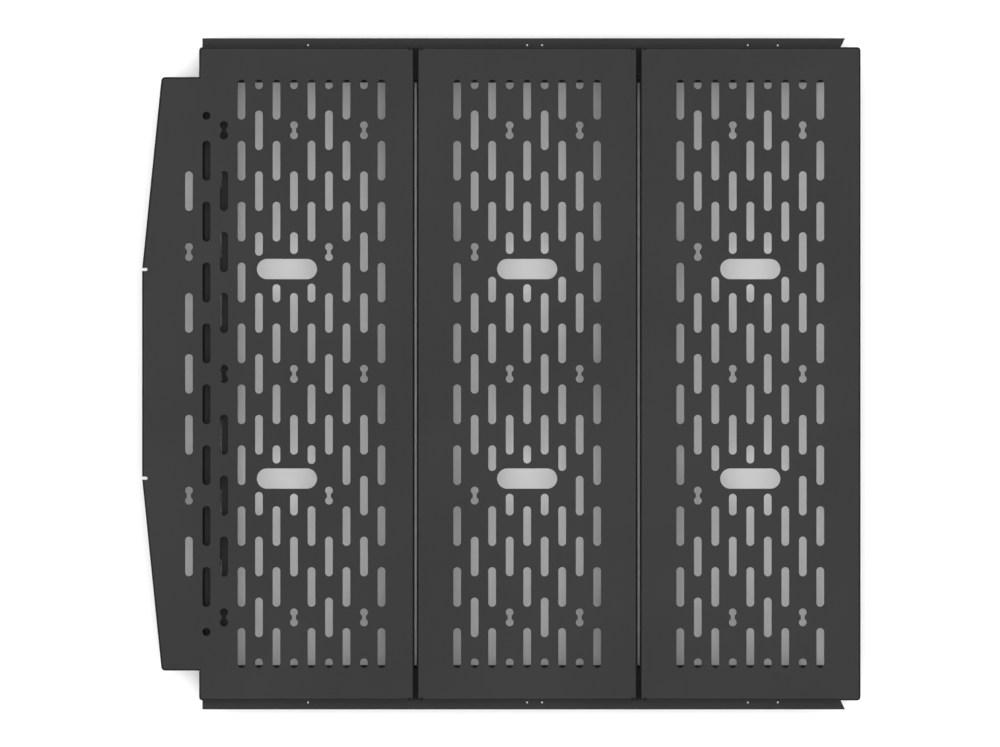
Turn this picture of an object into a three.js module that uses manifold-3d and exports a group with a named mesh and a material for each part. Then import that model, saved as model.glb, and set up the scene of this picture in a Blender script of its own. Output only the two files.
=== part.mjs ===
// Slotted headache rack: three pressed panels bolted down on two side rails,
// with a slotted crossmember under the tapered front end.
//
// Millimetres, +Z up. The rack lies flat with its slotted face up, the tapered
// front end points to -X and the rails run along X. The origin is the centre
// of the rack's footprint, on the plane of the rail feet.

import * as THREE from 'three';
import { mergeVertices } from 'three/addons/utils/BufferGeometryUtils.js';
import Module from 'manifold-3d';

const wasm = await Module();
wasm.setup();

// ---------------------------------------------------------------- sizes

const FIT_GAP = 0.3; // clearance between pieces that touch

// Panels: trays pressed from sheet, open below.
const PANEL_SHEET = 2.5;
const PANEL_BEND = 3.5; // outside radius of the rolled edges
const PANEL_DEPTH = 14; // slotted face down to the bottom of the turned edges
const PANEL_LENGTH = 817.8; // across the rack, along Y
const PANEL_WIDTH = 276.2; // centre and rear panels, along X
const PANEL_GAP = 3; // slit between neighbouring panels
const FRONT_PANEL_WIDTH = 269.5; // front panel without its visor
const FACE_CORNER_RADIUS = 0.7; // plan radius of the flat face's corners, inside the rolled edges
const LIP_WIDTH = 20; // inward lip at each panel end, which the bolts clamp
const CORNER_RELIEF = 8; // clear length of the end edge beside a joint

// Visor: the tapered front of the front panel.
const VISOR_REACH = 71.4;
const VISOR_SHOULDER = 37.4; // from the panel end in to the visor's side
const VISOR_HALF_NOSE = 130.6; // from the centreline to where the front edge turns back
const VISOR_SETBACK = 24.4; // how far the outer ends lie behind the nose
const NOTCH_WIDTH = 3.8; // bend relief where the front edge changes direction
const NOTCH_DEPTH = 7;

// Slot field.
const SLOT_LENGTH = 49.6;
const SLOT_WIDTH = 9.6;
const ROW_PITCH = 76.2;
const COLUMN_PITCH = 21.9;
const END_MARGIN = 36; // least plain sheet beyond the last slot, along Y
const SIDE_MARGIN = 48; // least plain sheet beside the slot field, along X
const FRONT_PANEL_REAR_MARGIN = 41.2; // rear edge to the nearest slot column
const PAIR_HOLE_PITCH = 12.7; // centres of the two joined round holes
const PAIR_NECK_WIDTH = 5;
const SLOT_END_STEPS = 3; // flats on each round slot end
const PAIR_STEPS = 5; // flats on each of the joined holes

// Hand slots: two in each panel.
const HAND_LENGTH = 75.2;
const HAND_WIDTH = 25.4;
const HAND_OFFSET = 131.1; // from the centreline
const HAND_END_STEPS = 5;
const HAND_WEB = 6.3; // sheet left between a hand slot and the slots by it
const FRONT_HAND_FROM_REAR = 159.5;

// Side rails: C sections, open outwards.
const RAIL_SHEET = 3;
const RAIL_INSIDE_RADIUS = 2;
const RAIL_HEIGHT = 30;
const RAIL_LEDGE = 11.7; // shelf that shows beyond the panel ends
const RAIL_FLANGE = 54.7; // width of the top flange
const RAIL_FOOT = 32; // width of the bottom flange
const RAIL_FRONT_INSET = 3.6; // rail end behind the front panel's corner
const RAIL_REAR_INSET = 18.9; // rail tip ahead of the rear panel's edge
const RAIL_MITRE = 0.48; // run of the cut-back rear end per width of flange
const LEDGE_HOLE = 2.4; // small fixing holes along the shelf
const LEDGE_HOLE_INSET = 8.7; // from the shelf's outer edge
const LEDGE_HOLES = [[1.2], [0, 18.7], [-2.6, 34.9]]; // from each panel's middle, front to rear
const FOOT_SLOT_LENGTH = 22;
const FOOT_SLOT_WIDTH = 9;
const FOOT_SLOT_COUNT = 4;
const FOOT_SLOT_MARGIN = 60; // rail end to the first foot slot's centre

// Crossmember: an inverted channel between the rails.
const CROSS_SHEET = 3;
const CROSS_WIDTH = 37.4;
const CROSS_LEAD = 0.8; // how far it stands ahead of the rail ends
const CROSS_CLEARANCE = 4; // its lower edges above the rail feet
const CROSS_SLOT_LENGTH = 63;
const CROSS_SLOT_WIDTH = 13;
const CROSS_SLOT_PITCH = 87;
const CROSS_SLOT_MARGIN = 60; // least plain length beyond the last slot

// Fasteners: M6 hexagon bolts and nuts.
const BOLT_DIAMETER = 6;
const BOLT_CLEARANCE = 0.5; // radial, in nuts and sheets alike
const BOLT_TAIL = 2; // thread showing past the nut
const BOLT_CHAMFER = 0.8;
const ACROSS_FLATS = 10; // bolt heads and nuts
const HEAD_HEIGHT = 4;
const NUT_HEIGHT = 5;
const NUT_CLEARANCE = 1.5; // crossmember nuts to the channel's sides
const BOLT_EDGE = 14; // rearmost panel bolt to the rail's cut end
const ROUND_STEPS = 8; // flats round bolts and bolt holes

const BEND_STEPS = 3; // flats round each fold and rolled edge
const CUT = 1; // how far a cutting body runs past the faces it cuts

// ------------------------------------------------------- derived places

const RACK_LENGTH = VISOR_REACH + FRONT_PANEL_WIDTH + 2 * (PANEL_GAP + PANEL_WIDTH);
const NOSE_X = -RACK_LENGTH / 2;
const DECK_FRONT_X = NOSE_X + VISOR_REACH;
const FRONT_REAR_X = DECK_FRONT_X + FRONT_PANEL_WIDTH;
const CENTRE_FRONT_X = FRONT_REAR_X + PANEL_GAP;
const REAR_FRONT_X = CENTRE_FRONT_X + PANEL_WIDTH + PANEL_GAP;
const PANEL_HALF = PANEL_LENGTH / 2;
const PANEL_WIDTHS = [FRONT_PANEL_WIDTH, PANEL_WIDTH, PANEL_WIDTH];
const PANEL_FRONTS = [DECK_FRONT_X, CENTRE_FRONT_X, REAR_FRONT_X];
const CORNER_RADIUS = PANEL_BEND + FACE_CORNER_RADIUS;
const VISOR_HALF_BASE = PANEL_HALF - VISOR_SHOULDER;

const PANEL_BOTTOM = RAIL_HEIGHT + FIT_GAP;

const RAIL_OUTER_Y = PANEL_HALF + RAIL_LEDGE;
const RAIL_WEB_Y = RAIL_OUTER_Y - RAIL_FLANGE; // inboard face of the web
const RAIL_FRONT_X = DECK_FRONT_X + RAIL_FRONT_INSET;
const RAIL_REAR_X = RACK_LENGTH / 2 - RAIL_REAR_INSET;
const RAIL_LENGTH = RAIL_REAR_X - RAIL_FRONT_X;
const RAIL_SHORT_LENGTH = RAIL_LENGTH - RAIL_FLANGE * RAIL_MITRE;
const CROSS_DEPTH = RAIL_HEIGHT - CROSS_CLEARANCE;
const CROSS_CENTRE_X = RAIL_FRONT_X - CROSS_LEAD + CROSS_WIDTH / 2;

// Panel bolts stand in the middle of the lips, the same distance from both
// edges of every panel. Crossmember bolts stand side by side in the channel.
const BOLT_Y = PANEL_HALF - PANEL_SHEET - LIP_WIDTH / 2;
const BOLT_INSET = RAIL_REAR_INSET + (RAIL_OUTER_Y - BOLT_Y) * RAIL_MITRE + BOLT_EDGE;
const BOLT_HOLE = BOLT_DIAMETER + 2 * BOLT_CLEARANCE;
const CROSS_BOLT_SPACING = CROSS_WIDTH - 2 * (CROSS_SHEET + NUT_CLEARANCE) - ACROSS_FLATS;
const CROSS_BOLT_Z = RAIL_HEIGHT / 2;

// Slots are laid out by the centres of their round ends, the slot's core.
const SLOT_CORE = SLOT_LENGTH - SLOT_WIDTH;
const SLOT_ROWS = Math.floor((PANEL_HALF - END_MARGIN - SLOT_LENGTH / 2) / ROW_PITCH - 0.5);
const FIELD_REACH = (SLOT_ROWS + 0.5) * ROW_PITCH + SLOT_CORE / 2;
const CROSS_FIELD_REACH = (SLOT_ROWS + 0.5) * ROW_PITCH - SLOT_CORE / 2;
const VISOR_FIELD_REACH = (SLOT_ROWS - 0.5) * ROW_PITCH;
const HAND_CORE = HAND_LENGTH - HAND_WIDTH;
const HAND_CLEARANCE = HAND_WIDTH / 2 + HAND_WEB + SLOT_WIDTH / 2;

// ------------------------------------------------------------ materials

function powderCoat() {
  return new THREE.MeshStandardMaterial({
    color: 0x3d3d3d, roughness: 0.62, metalness: 0.2, flatShading: true,
  });
}

function zincPlate() {
  return new THREE.MeshStandardMaterial({
    color: 0xa9abac, roughness: 0.38, metalness: 0.9, flatShading: true,
  });
}

// -------------------------------------------------------- solid helpers

function solidOf(geometry) {
  geometry.deleteAttribute('normal');
  geometry.deleteAttribute('uv');
  const merged = mergeVertices(geometry, 1e-4);
  return new wasm.Manifold(new wasm.Mesh({
    numProp: 3,
    vertProperties: new Float32Array(merged.attributes.position.array),
    triVerts: new Uint32Array(merged.index.array),
  }));
}

function geometryOf(solid) {
  const mesh = solid.getMesh();
  const geometry = new THREE.BufferGeometry();
  geometry.setAttribute('position', new THREE.BufferAttribute(new Float32Array(mesh.vertProperties), 3));
  geometry.setIndex(new THREE.BufferAttribute(new Uint32Array(mesh.triVerts), 1));
  geometry.computeVertexNormals();
  return geometry;
}

function block([x0, y0, z0], [x1, y1, z1]) {
  const box = new THREE.BoxGeometry(x1 - x0, y1 - y0, z1 - z0);
  box.translate((x0 + x1) / 2, (y0 + y1) / 2, (z0 + z1) / 2);
  return solidOf(box);
}

// Upright prism through one shape or a list of shapes in the XY plane.
function prism(shapes, bottom, top) {
  const geometry = new THREE.ExtrudeGeometry(shapes, { depth: top - bottom, bevelEnabled: false });
  geometry.translate(0, 0, bottom);
  return solidOf(geometry);
}

function addArc(points, centreX, centreY, radius, from, to, steps) {
  for (let i = 0; i <= steps; i += 1) {
    const angle = from + ((to - from) * i) / steps;
    points.push(new THREE.Vector2(centreX + radius * Math.cos(angle), centreY + radius * Math.sin(angle)));
  }
}

function roundShape(x, y, diameter) {
  const points = [];
  const half = Math.PI / ROUND_STEPS;
  addArc(points, x, y, diameter / 2, half, 2 * Math.PI - half, ROUND_STEPS - 1);
  return new THREE.Shape(points);
}

// Hexagon with flats facing along X.
function hexagonShape(acrossFlats) {
  const points = [];
  addArc(points, 0, 0, acrossFlats / Math.sqrt(3), Math.PI / 6, (11 / 6) * Math.PI, 5);
  return new THREE.Shape(points);
}

// Round-ended hole along Y, between the centres of its two ends.
function slotShape(x, low, high, width) {
  const points = [];
  addArc(points, x, high, width / 2, 0, Math.PI, SLOT_END_STEPS);
  addArc(points, x, low, width / 2, Math.PI, 2 * Math.PI, SLOT_END_STEPS);
  return new THREE.Shape(points);
}

// Round-ended hole along X, between the centres of its two ends.
function crosswiseSlotShape(left, right, y, width, steps) {
  const points = [];
  addArc(points, right, y, width / 2, -Math.PI / 2, Math.PI / 2, steps);
  addArc(points, left, y, width / 2, Math.PI / 2, 1.5 * Math.PI, steps);
  return new THREE.Shape(points);
}

// Two round holes joined by a narrower neck, one behind the other along Y.
function pairShape(x, y) {
  const radius = SLOT_WIDTH / 2;
  const offset = PAIR_HOLE_PITCH / 2;
  const neck = Math.asin(PAIR_NECK_WIDTH / 2 / radius);
  const points = [];
  addArc(points, x, y + offset, radius, neck - Math.PI / 2, 1.5 * Math.PI - neck, PAIR_STEPS);
  addArc(points, x, y - offset, radius, neck + Math.PI / 2, 2.5 * Math.PI - neck, PAIR_STEPS);
  return new THREE.Shape(points);
}

// Outline moved inwards by a distance; the points run anticlockwise.
function insetPoints(points, distance) {
  return points.map((point, i) => {
    const before = points[(i + points.length - 1) % points.length];
    const after = points[(i + 1) % points.length];
    const into = point.clone().sub(before).normalize();
    const out = after.clone().sub(point).normalize();
    const normalIn = new THREE.Vector2(-into.y, into.x);
    const normalOut = new THREE.Vector2(-out.y, out.x);
    const shift = normalIn.clone().add(normalOut).multiplyScalar(distance / (1 + normalIn.dot(normalOut)));
    return point.clone().add(shift);
  });
}

// Outline with each corner rounded by its own radius, or left sharp at 0.
function roundedShape(points, radii) {
  const rounded = [];
  points.forEach((point, i) => {
    if (radii[i] <= 0) {
      rounded.push(point);
      return;
    }
    const toBefore = points[(i + points.length - 1) % points.length].clone().sub(point).normalize();
    const toAfter = points[(i + 1) % points.length].clone().sub(point).normalize();
    const halfAngle = Math.acos(toBefore.dot(toAfter)) / 2;
    const tangent = radii[i] / Math.tan(halfAngle);
    const bisector = toBefore.clone().add(toAfter).normalize();
    const centre = point.clone().addScaledVector(bisector, radii[i] / Math.sin(halfAngle));
    const start = point.clone().addScaledVector(toBefore, tangent).sub(centre);
    const end = point.clone().addScaledVector(toAfter, tangent).sub(centre);
    let sweep = end.angle() - start.angle();
    if (sweep < -Math.PI) sweep += 2 * Math.PI;
    if (sweep > Math.PI) sweep -= 2 * Math.PI;
    addArc(rounded, centre.x, centre.y, radii[i], start.angle(), start.angle() + sweep, BEND_STEPS);
  });
  return new THREE.Shape(rounded);
}

// Closed section of a folded sheet. The path follows one face of the sheet and
// the sheet lies to its left; every fold has the same inside radius.
function foldedSection(path, thickness, insideRadius) {
  const near = [];
  const far = [];
  const leftOf = (from, to) => {
    const direction = to.clone().sub(from).normalize();
    return new THREE.Vector2(-direction.y, direction.x);
  };
  const addEnd = (point, normal) => {
    near.push(point.clone());
    far.push(point.clone().addScaledVector(normal, thickness));
  };
  addEnd(path[0], leftOf(path[0], path[1]));
  for (let i = 1; i < path.length - 1; i += 1) {
    const normalIn = leftOf(path[i - 1], path[i]);
    const normalOut = leftOf(path[i], path[i + 1]);
    const turnsLeft = normalIn.cross(normalOut) > 0;
    const offset = turnsLeft ? insideRadius + thickness : -insideRadius;
    const centre = path[i].clone().addScaledVector(
      normalIn.clone().add(normalOut), offset / (1 + normalIn.dot(normalOut)));
    for (let step = 0; step <= BEND_STEPS; step += 1) {
      const turn = (step / BEND_STEPS) * Math.acos(normalIn.dot(normalOut)) * (turnsLeft ? 1 : -1);
      const normal = normalIn.clone().rotateAround(new THREE.Vector2(), turn);
      near.push(centre.clone().addScaledVector(normal, -offset));
      far.push(centre.clone().addScaledVector(normal, thickness - offset));
    }
  }
  const last = path.length - 1;
  addEnd(path[last], leftOf(path[last - 1], path[last]));
  return new THREE.Shape([...near, ...far.reverse()]);
}

// --------------------------------------------------------------- panels
//
// A panel's own X starts at the front edge of its slotted face (the visor lies
// ahead of it), its Y is 0 on the centreline and its Z is 0 at its turned edges.

const LEAST_CORE = 0.5; // a slot with a shorter core than this is a plain round hole
const ROUNDING = 1e-6;

// What is left of a slot core after its column's reach and the hand slots.
function trimmedCores(low, high, x, reach, handX) {
  let cores = [[Math.max(low, -reach), Math.min(high, reach)]];
  const beside = Math.max(0, Math.abs(x - handX) - HAND_CORE / 2);
  if (beside < HAND_CLEARANCE) {
    const clear = Math.sqrt(HAND_CLEARANCE ** 2 - beside ** 2);
    for (const handY of [-HAND_OFFSET, HAND_OFFSET]) {
      cores = cores.flatMap(([from, to]) => [
        [from, Math.min(to, handY - clear)],
        [Math.max(from, handY + clear), to],
      ]);
    }
  }
  return cores.filter(([from, to]) => to - from > -ROUNDING);
}

function pairFits(x, y, reach, handX) {
  const half = PAIR_HOLE_PITCH / 2;
  const kept = trimmedCores(y - half, y + half, x, reach, handX);
  return kept.length === 1 && kept[0][1] - kept[0][0] > PAIR_HOLE_PITCH - ROUNDING;
}

// Columns are laid from the rear forwards. Every second column is shifted by
// half a row. In the columns between them, joined pairs of round holes take the
// place of every fourth slot.
function slotField(rearColumnX, columnCount, handX, reachAt) {
  const shapes = [];
  for (let column = 0; column < columnCount; column += 1) {
    const x = rearColumnX - column * COLUMN_PITCH;
    const reach = reachAt(x);
    const shifted = column % 2 === 0;
    const pairRow = (column - 1) % 4 === 0 ? 0 : 2;
    for (let row = -SLOT_ROWS - 1; row <= SLOT_ROWS + 1; row += 1) {
      const y = (shifted ? row + 0.5 : row) * ROW_PITCH;
      if (!shifted && Math.abs(row) % 4 === pairRow && pairFits(x, y, reach, handX)) {
        shapes.push(pairShape(x, y));
        continue;
      }
      for (const [low, high] of trimmedCores(y - SLOT_CORE / 2, y + SLOT_CORE / 2, x, reach, handX)) {
        const hole = high - low < LEAST_CORE
          ? roundShape(x, (low + high) / 2, SLOT_WIDTH)
          : slotShape(x, low, high, SLOT_WIDTH);
        shapes.push(hole);
      }
    }
  }
  for (const handY of [-HAND_OFFSET, HAND_OFFSET]) {
    const ends = [handX - HAND_CORE / 2, handX + HAND_CORE / 2];
    shapes.push(crosswiseSlotShape(...ends, handY, HAND_WIDTH, HAND_END_STEPS));
  }
  return shapes;
}

// Upright block of sheet edge, one at each end of the panel.
function endBlocks([x0, y0, z0], [x1, y1, z1]) {
  return block([x0, y0, z0], [x1, y1, z1]).add(block([x0, -y1, z0], [x1, -y0, z1]));
}

// Closed prism of a panel's outline with its upper edges rolled, from below the
// turned edges up to the given top.
function rolledPrism(points, radii, top, bend, steps) {
  const geometry = new THREE.ExtrudeGeometry(roundedShape(points, radii), {
    depth: PANEL_DEPTH,
    bevelThickness: bend,
    bevelSize: bend,
    bevelOffset: -bend,
    bevelSegments: steps,
  });
  geometry.translate(0, 0, top - PANEL_DEPTH - bend);
  return solidOf(geometry);
}

// Tray with rolled edges over the given outline. Its width is the length of its
// two end edges along X; each joint is an end of them that meets a neighbour,
// where the end edge and its lip stop short of the side edge.
function traySolid(points, radii, width, joints) {
  const innerRadii = radii.map((radius) => Math.max(0, radius - PANEL_SHEET));
  const innerPoints = insetPoints(points, PANEL_SHEET);
  const lipStart = [CORNER_RELIEF, PANEL_HALF - PANEL_SHEET - LIP_WIDTH, 0];
  const lips = endBlocks(lipStart, [width - CORNER_RELIEF, PANEL_HALF, PANEL_SHEET]);
  const innerTop = PANEL_DEPTH - PANEL_SHEET;
  const cavity = rolledPrism(innerPoints, innerRadii, innerTop, PANEL_BEND - PANEL_SHEET, 1)
    .subtract(lips);
  const below = block([-RACK_LENGTH, -PANEL_LENGTH, -2 * PANEL_DEPTH], [RACK_LENGTH, PANEL_LENGTH, 0]);
  let tray = rolledPrism(points, radii, PANEL_DEPTH, PANEL_BEND, BEND_STEPS)
    .subtract(cavity)
    .subtract(below);
  for (const joint of joints) {
    const from = joint === 'front' ? PANEL_BEND : width - CORNER_RELIEF;
    const to = joint === 'front' ? CORNER_RELIEF : width - PANEL_BEND;
    tray = tray.subtract(endBlocks(
      [from, PANEL_HALF - PANEL_BEND, -CUT], [to, PANEL_HALF + CUT, PANEL_DEPTH + CUT]));
  }
  return tray;
}

function cutPanel(tray, width, slots) {
  const lipHoles = [BOLT_INSET, width - BOLT_INSET].flatMap((x) => [
    roundShape(x, -BOLT_Y, BOLT_HOLE),
    roundShape(x, BOLT_Y, BOLT_HOLE),
  ]);
  const slotted = tray.subtract(prism(slots, PANEL_SHEET + CUT, PANEL_DEPTH + CUT));
  return geometryOf(slotted.subtract(prism(lipHoles, -CUT, PANEL_SHEET + CUT)));
}

function rectangularPanel(joints) {
  const points = [
    new THREE.Vector2(0, -PANEL_HALF),
    new THREE.Vector2(PANEL_WIDTH, -PANEL_HALF),
    new THREE.Vector2(PANEL_WIDTH, PANEL_HALF),
    new THREE.Vector2(0, PANEL_HALF),
  ];
  const rearRadius = joints.includes('rear') ? 0 : CORNER_RADIUS;
  const tray = traySolid(points, [0, rearRadius, rearRadius, 0], PANEL_WIDTH, joints);
  const columnCount = Math.floor((PANEL_WIDTH - 2 * SIDE_MARGIN) / COLUMN_PITCH) + 1;
  const rearColumnX = (PANEL_WIDTH + (columnCount - 1) * COLUMN_PITCH) / 2;
  const slots = slotField(rearColumnX, columnCount, PANEL_WIDTH / 2, () => FIELD_REACH);
  return cutPanel(tray, PANEL_WIDTH, slots);
}

// The slot columns on the visor and over the crossmember stop short of the rest.
function frontReach(x) {
  if (x < 0) return VISOR_FIELD_REACH;
  if (x < RAIL_FRONT_INSET - CROSS_LEAD + CROSS_WIDTH) return CROSS_FIELD_REACH;
  return FIELD_REACH;
}

function frontPanel() {
  const width = FRONT_PANEL_WIDTH;
  const shoulderX = VISOR_SETBACK - VISOR_REACH;
  const rearLeft = new THREE.Vector2(width, PANEL_HALF);
  const leftSide = [
    new THREE.Vector2(0, PANEL_HALF),
    new THREE.Vector2(0, VISOR_HALF_BASE),
    new THREE.Vector2(shoulderX, VISOR_HALF_BASE),
    new THREE.Vector2(-VISOR_REACH, VISOR_HALF_NOSE),
  ];
  const rightSide = leftSide.map((point) => new THREE.Vector2(point.x, -point.y)).reverse();
  const points = [rearLeft, ...leftSide, ...rightSide, new THREE.Vector2(width, -PANEL_HALF)];
  const sideRadii = [CORNER_RADIUS, 0, CORNER_RADIUS, 0];
  const radii = [0, ...sideRadii, ...[...sideRadii].reverse(), 0];
  const notchTip = NOTCH_DEPTH - VISOR_REACH - NOTCH_WIDTH / 2;
  const notches = [-1, 1].map((side) => crosswiseSlotShape(
    -VISOR_REACH - NOTCH_DEPTH, notchTip, side * VISOR_HALF_NOSE, NOTCH_WIDTH, SLOT_END_STEPS));
  const tray = traySolid(points, radii, width, ['rear'])
    .subtract(prism(notches, -CUT, PANEL_DEPTH + CUT));
  const rearColumnX = width - FRONT_PANEL_REAR_MARGIN;
  const columnCount = Math.floor((rearColumnX + VISOR_REACH - SIDE_MARGIN) / COLUMN_PITCH) + 1;
  const slots = slotField(rearColumnX, columnCount, width - FRONT_HAND_FROM_REAR, frontReach);
  return cutPanel(tray, width, slots);
}

// ---------------------------------------------------------------- rails
//
// A rail's own X starts at its front end, its Y is 0 on the web's inboard face
// and its Z is 0 under its foot. The left rail is made; the right one mirrors it.

// Small fixing holes along the shelf, in the rack's X.
function ledgeHoleXs() {
  return PANEL_FRONTS.flatMap((front, i) => {
    const middle = front + PANEL_WIDTHS[i] / 2;
    return LEDGE_HOLES[i].map((offset) => middle + offset);
  });
}

// The panel bolts, in the rack's X.
function panelBoltXs() {
  return PANEL_FRONTS.flatMap((front, i) => [front + BOLT_INSET, front + PANEL_WIDTHS[i] - BOLT_INSET]);
}

function crossBoltOffsets() {
  return [-CROSS_BOLT_SPACING / 2, CROSS_BOLT_SPACING / 2];
}

// Bars along Y that clear the crossmember's bolts, at a height above z = 0.
function crossBoltBars(middleX, fromY, toY, z) {
  const shapes = crossBoltOffsets().map((offset) => roundShape(middleX + offset, z, BOLT_HOLE));
  const geometry = new THREE.ExtrudeGeometry(shapes, { depth: toY - fromY, bevelEnabled: false });
  geometry.rotateX(Math.PI / 2);
  geometry.translate(0, toY, 0);
  return solidOf(geometry);
}

function footSlots() {
  const first = FOOT_SLOT_MARGIN;
  const step = (RAIL_SHORT_LENGTH - 2 * FOOT_SLOT_MARGIN) / (FOOT_SLOT_COUNT - 1);
  const half = (FOOT_SLOT_LENGTH - FOOT_SLOT_WIDTH) / 2;
  const y = (RAIL_SHEET + RAIL_INSIDE_RADIUS + RAIL_FOOT) / 2;
  return Array.from({ length: FOOT_SLOT_COUNT }, (_, i) => {
    const x = first + i * step;
    return crosswiseSlotShape(x - half, x + half, y, FOOT_SLOT_WIDTH, SLOT_END_STEPS);
  });
}

// The wedge cut off the rail's rear end, seen from above.
function mitreShape() {
  return new THREE.Shape([
    new THREE.Vector2(RAIL_LENGTH + CUT * RAIL_MITRE, RAIL_FLANGE + CUT),
    new THREE.Vector2(RAIL_SHORT_LENGTH - CUT * RAIL_MITRE, -CUT),
    new THREE.Vector2(RAIL_LENGTH + 2 * CUT, -CUT),
    new THREE.Vector2(RAIL_LENGTH + 2 * CUT, RAIL_FLANGE + CUT),
  ]);
}

function sideRail(side) {
  const section = foldedSection([
    new THREE.Vector2(RAIL_FLANGE, RAIL_HEIGHT),
    new THREE.Vector2(0, RAIL_HEIGHT),
    new THREE.Vector2(0, 0),
    new THREE.Vector2(RAIL_FOOT, 0),
  ], RAIL_SHEET, RAIL_INSIDE_RADIUS);
  const geometry = new THREE.ExtrudeGeometry(section, { depth: RAIL_LENGTH, bevelEnabled: false });
  geometry.applyMatrix4(new THREE.Matrix4().makeBasis(
    new THREE.Vector3(0, 1, 0), new THREE.Vector3(0, 0, 1), new THREE.Vector3(1, 0, 0)));
  const boltHoles = panelBoltXs().map((x) => roundShape(x - RAIL_FRONT_X, BOLT_Y - RAIL_WEB_Y, BOLT_HOLE));
  const ledgeHoles = ledgeHoleXs().map((x) => roundShape(
    x - RAIL_FRONT_X, RAIL_FLANGE - LEDGE_HOLE_INSET, LEDGE_HOLE));
  const rail = solidOf(geometry)
    .subtract(prism(mitreShape(), -CUT, RAIL_HEIGHT + CUT))
    .subtract(prism([...boltHoles, ...ledgeHoles], RAIL_HEIGHT - RAIL_SHEET - CUT, RAIL_HEIGHT + CUT))
    .subtract(prism(footSlots(), -CUT, RAIL_SHEET + CUT))
    .subtract(crossBoltBars(CROSS_CENTRE_X - RAIL_FRONT_X, -CUT, RAIL_SHEET + CUT, CROSS_BOLT_Z));
  return geometryOf(side > 0 ? rail : rail.mirror([0, 1, 0]));
}

// ---------------------------------------------------------- crossmember
//
// Its own origin is the middle of its top face. End plates close the channel,
// flat against the rail webs.

function crossmember() {
  const half = CROSS_WIDTH / 2;
  const halfLength = RAIL_WEB_Y - FIT_GAP;
  const section = foldedSection([
    new THREE.Vector2(half, -CROSS_DEPTH),
    new THREE.Vector2(half, 0),
    new THREE.Vector2(-half, 0),
    new THREE.Vector2(-half, -CROSS_DEPTH),
  ], CROSS_SHEET, RAIL_INSIDE_RADIUS);
  const channelEnd = halfLength - CROSS_SHEET / 2;
  const geometry = new THREE.ExtrudeGeometry(section, { depth: 2 * channelEnd, bevelEnabled: false });
  geometry.rotateX(Math.PI / 2);
  geometry.translate(0, channelEnd, 0);
  const weld = CROSS_SHEET / 3; // the end plates run this far into the channel's walls
  const plateX = half - CROSS_SHEET + weld;
  const plates = endBlocks(
    [-plateX, halfLength - CROSS_SHEET, weld - CROSS_DEPTH], [plateX, halfLength, weld - CROSS_SHEET]);
  const rows = Math.floor((halfLength - CROSS_SLOT_MARGIN - CROSS_SLOT_LENGTH / 2) / CROSS_SLOT_PITCH);
  const core = CROSS_SLOT_LENGTH - CROSS_SLOT_WIDTH;
  const slots = [];
  for (let row = -rows; row <= rows; row += 1) {
    const y = row * CROSS_SLOT_PITCH;
    slots.push(slotShape(0, y - core / 2, y + core / 2, CROSS_SLOT_WIDTH));
  }
  const channel = solidOf(geometry)
    .add(plates)
    .subtract(crossBoltBars(0, -RAIL_WEB_Y, RAIL_WEB_Y, CROSS_BOLT_Z - RAIL_HEIGHT))
    .subtract(prism(slots, -CROSS_SHEET - CUT, CUT));
  return geometryOf(channel);
}

// ------------------------------------------------------------ fasteners

// Hexagon bolt along -Z, its head standing just clear of z = 0, for a given grip.
function boltGeometry(grip) {
  const radius = BOLT_DIAMETER / 2;
  const tail = -(grip + FIT_GAP + NUT_HEIGHT + BOLT_TAIL);
  const shank = new THREE.LatheGeometry([
    new THREE.Vector2(0, tail),
    new THREE.Vector2(radius - BOLT_CHAMFER, tail),
    new THREE.Vector2(radius, tail + BOLT_CHAMFER),
    new THREE.Vector2(radius, FIT_GAP + HEAD_HEIGHT / 2),
    new THREE.Vector2(0, FIT_GAP + HEAD_HEIGHT / 2),
  ], ROUND_STEPS);
  shank.rotateX(Math.PI / 2);
  shank.rotateZ(Math.PI / ROUND_STEPS);
  const head = prism(hexagonShape(ACROSS_FLATS), FIT_GAP, FIT_GAP + HEAD_HEIGHT);
  return geometryOf(solidOf(shank).add(head));
}

// Hexagon nut with its top face on z = 0.
function nutGeometry() {
  const shape = hexagonShape(ACROSS_FLATS);
  shape.holes.push(new THREE.Path(roundShape(0, 0, BOLT_HOLE).getPoints()));
  return geometryOf(prism(shape, -NUT_HEIGHT, 0));
}

// ------------------------------------------------------------- assembly

function addPiece(parent, name, geometry, material, position) {
  const mesh = new THREE.Mesh(geometry, material);
  mesh.name = name;
  mesh.position.set(...position);
  parent.add(mesh);
}

// A bolt and its nut in a group of their own: the bolt points along the group's
// -Z from the face it clamps, and the nut closes the grip.
function addFastener(parent, kind, tag, grip, position, turnX) {
  const pair = new THREE.Group();
  pair.position.set(...position);
  pair.rotation.x = turnX;
  addPiece(pair, `${kind}_bolt_${tag}`, boltGeometry(grip), zincPlate(), [0, 0, 0]);
  addPiece(pair, `${kind}_nut_${tag}`, nutGeometry(), zincPlate(), [0, 0, -grip - FIT_GAP]);
  parent.add(pair);
}

const rack = new THREE.Group();

const panels = new THREE.Group();
panels.position.z = PANEL_BOTTOM;
addPiece(panels, 'front_panel', frontPanel(), powderCoat(), [DECK_FRONT_X, 0, 0]);
addPiece(panels, 'centre_panel', rectangularPanel(['front', 'rear']), powderCoat(), [CENTRE_FRONT_X, 0, 0]);
addPiece(panels, 'rear_panel', rectangularPanel(['front']), powderCoat(), [REAR_FRONT_X, 0, 0]);
rack.add(panels);

const frame = new THREE.Group();
addPiece(frame, 'slotted_crossmember', crossmember(), powderCoat(), [CROSS_CENTRE_X, 0, RAIL_HEIGHT]);
rack.add(frame);

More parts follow.
